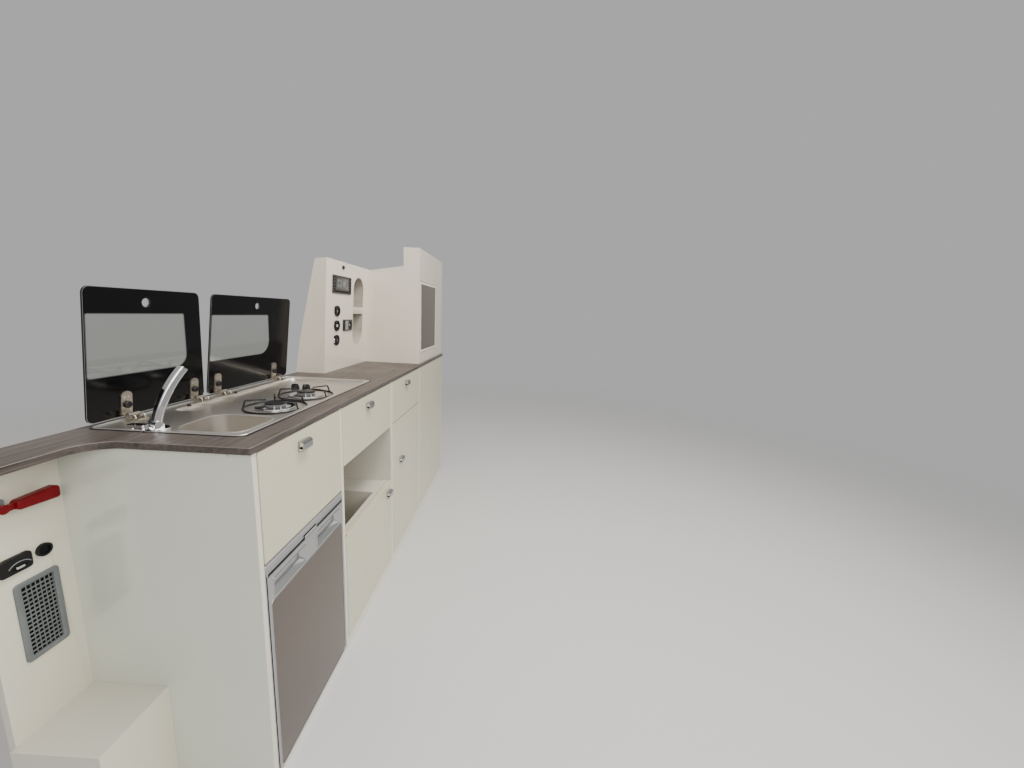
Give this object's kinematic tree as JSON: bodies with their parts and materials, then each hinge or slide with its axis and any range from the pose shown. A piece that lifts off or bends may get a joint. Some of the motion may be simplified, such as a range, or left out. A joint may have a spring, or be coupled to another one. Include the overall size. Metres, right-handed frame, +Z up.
{
  "type": "camper van side kitchen unit",
  "caption": "Fitted side kitchen unit with sink and hob under folding glass lids, fridge, drawers, doors, open locker, control tower and mirror-door wardrobe.",
  "frame": {"origin": "middle of the footprint on the floor", "axes": "+X along the van towards its rear, +Y towards the side wall, +Z up; the fronts face -Y"},
  "size_m": [2.22, 0.467, 1.542],
  "materials": {
    "laminate": "dark streaked laminate, satin",
    "board": "cream laminated board, gloss",
    "ply": "bare light plywood",
    "front": "pale grey-green gloss laminated board",
    "steel": "zinc plated steel",
    "silver": "silver, brushed look",
    "fridge_liner": "white foam-filled cabinet",
    "stainless": "brushed stainless steel",
    "chrome": "bright chrome",
    "burner": "bright dish and dark cap",
    "enamel": "black enamelled wire",
    "black_plastic": "black moulded",
    "tower": "cream laminated board, satin",
    "niche": "cream moulding",
    "display": "dark grey control panel",
    "grille": "grey moulded grille",
    "red_plastic": "red moulded grip",
    "drawer": "pale board drawer box",
    "fridge_panel": "dark mirror-like panel",
    "door_frame": "cream laminated frame",
    "mirror": "bronze tinted mirror",
    "glass": "clear toughened glass with black printed border"
  },
  "bodies": {
    "carcass": {"worktop": "laminate", "end_panel": "board", "rear_end_panel": "board", "dividers": "board", "base_board": "board", "kick_rails": "board", "back_panel": "ply", "shelf_boards": "board", "wheel_box_step": "board", "end_cap": "board", "column_4_panel": "front", "drawer_runners": "steel", "pivot_pins": "steel", "fridge_frame": "silver", "fridge_cabinet": "fridge_liner", "sink_hob_plate": "stainless", "sink_bowl": "stainless", "sink_waste": "chrome", "burners": "burner", "pan_supports": "enamel", "hob_knobs": "black_plastic", "hinge_feet": "stainless", "tap_base": "chrome", "tap_lever": "chrome", "tower_shell": "tower", "tower_niche": "niche", "display_panel": "display", "round_sockets": "black_plastic", "twin_socket": "black_plastic", "tower_button": "black_plastic", "wardrobe_sides": "tower", "wardrobe_top": "tower", "wardrobe_face": "tower", "extension_panel": "board", "vent_grille": "grille", "round_outlet": "black_plastic", "power_inlet": "black_plastic", "red_handle": "red_plastic", "low_box": "board"},
    "flap_1": {"flap_1": "front", "lock_flap_1": "chrome"},
    "drawer_2": {"drawer_2_front": "front", "drawer_2_box": "drawer", "lock_drawer_2": "chrome"},
    "drawer_3": {"drawer_3_front": "front", "drawer_3_box": "drawer", "lock_drawer_3": "chrome"},
    "door_2": {"door_2": "front", "lock_door_2": "chrome"},
    "door_3": {"door_3": "front", "lock_door_3": "chrome"},
    "fridge_door": {"fridge_door": "silver", "fridge_door_panel": "fridge_panel"},
    "wardrobe_door": {"wardrobe_door": "door_frame", "wardrobe_mirror": "mirror"},
    "lid_1": {"lid_1_glass": "glass", "lid_1_straps": "stainless"},
    "lid_2": {"lid_2_glass": "glass", "lid_2_straps": "stainless"},
    "tap": {"tap_spout": "chrome"}
  },
  "joints": [
    {"name": "flap_1_hinge", "type": "hinge", "parent": "carcass", "child": "flap_1", "pos_m": [-0.715, -0.2135, 0.618], "axis": [1, 0, 0], "range_deg": [0, 90]},
    {"name": "drawer_2_slide", "type": "slide", "parent": "carcass", "child": "drawer_2", "axis": [0, -1, 0], "range_m": [0, 0.33]},
    {"name": "drawer_3_slide", "type": "slide", "parent": "carcass", "child": "drawer_3", "axis": [0, -1, 0], "range_m": [0, 0.33]},
    {"name": "door_2_hinge", "type": "hinge", "parent": "carcass", "child": "door_2", "pos_m": [-0.495, -0.2135, 0.225], "axis": [0, 0, -1], "range_deg": [0, 95]},
    {"name": "door_3_hinge", "type": "hinge", "parent": "carcass", "child": "door_3", "pos_m": [0.453, -0.2135, 0.365], "axis": [0, 0, 1], "range_deg": [0, 95]},
    {"name": "fridge_door_hinge", "type": "hinge", "parent": "carcass", "child": "fridge_door", "pos_m": [-0.902, -0.2135, 0.295], "axis": [0, 0, -1], "range_deg": [0, 100]},
    {"name": "wardrobe_door_hinge", "type": "hinge", "parent": "carcass", "child": "wardrobe_door", "pos_m": [0.902, -0.2055, 1.167], "axis": [0, 0, 1], "range_deg": [0, 100]},
    {"name": "lid_1_hinge", "type": "hinge", "parent": "carcass", "child": "lid_1", "pos_m": [-0.701, 0.1855, 0.917], "axis": [1, 0, 0], "range_deg": [0, 83.7]},
    {"name": "lid_2_hinge", "type": "hinge", "parent": "carcass", "child": "lid_2", "pos_m": [-0.311, 0.1855, 0.917], "axis": [1, 0, 0], "range_deg": [0, 83.7]},
    {"name": "tap_fold", "type": "hinge", "parent": "carcass", "child": "tap", "pos_m": [-0.851, 0.0585, 0.92], "axis": [0.5, 0.866, 0], "range_deg": [0, 71.6]}
  ],
  "couplings": [
    {"joint": "tap_fold", "follows": "lid_1_hinge", "ratio": 0.855}
  ]
}
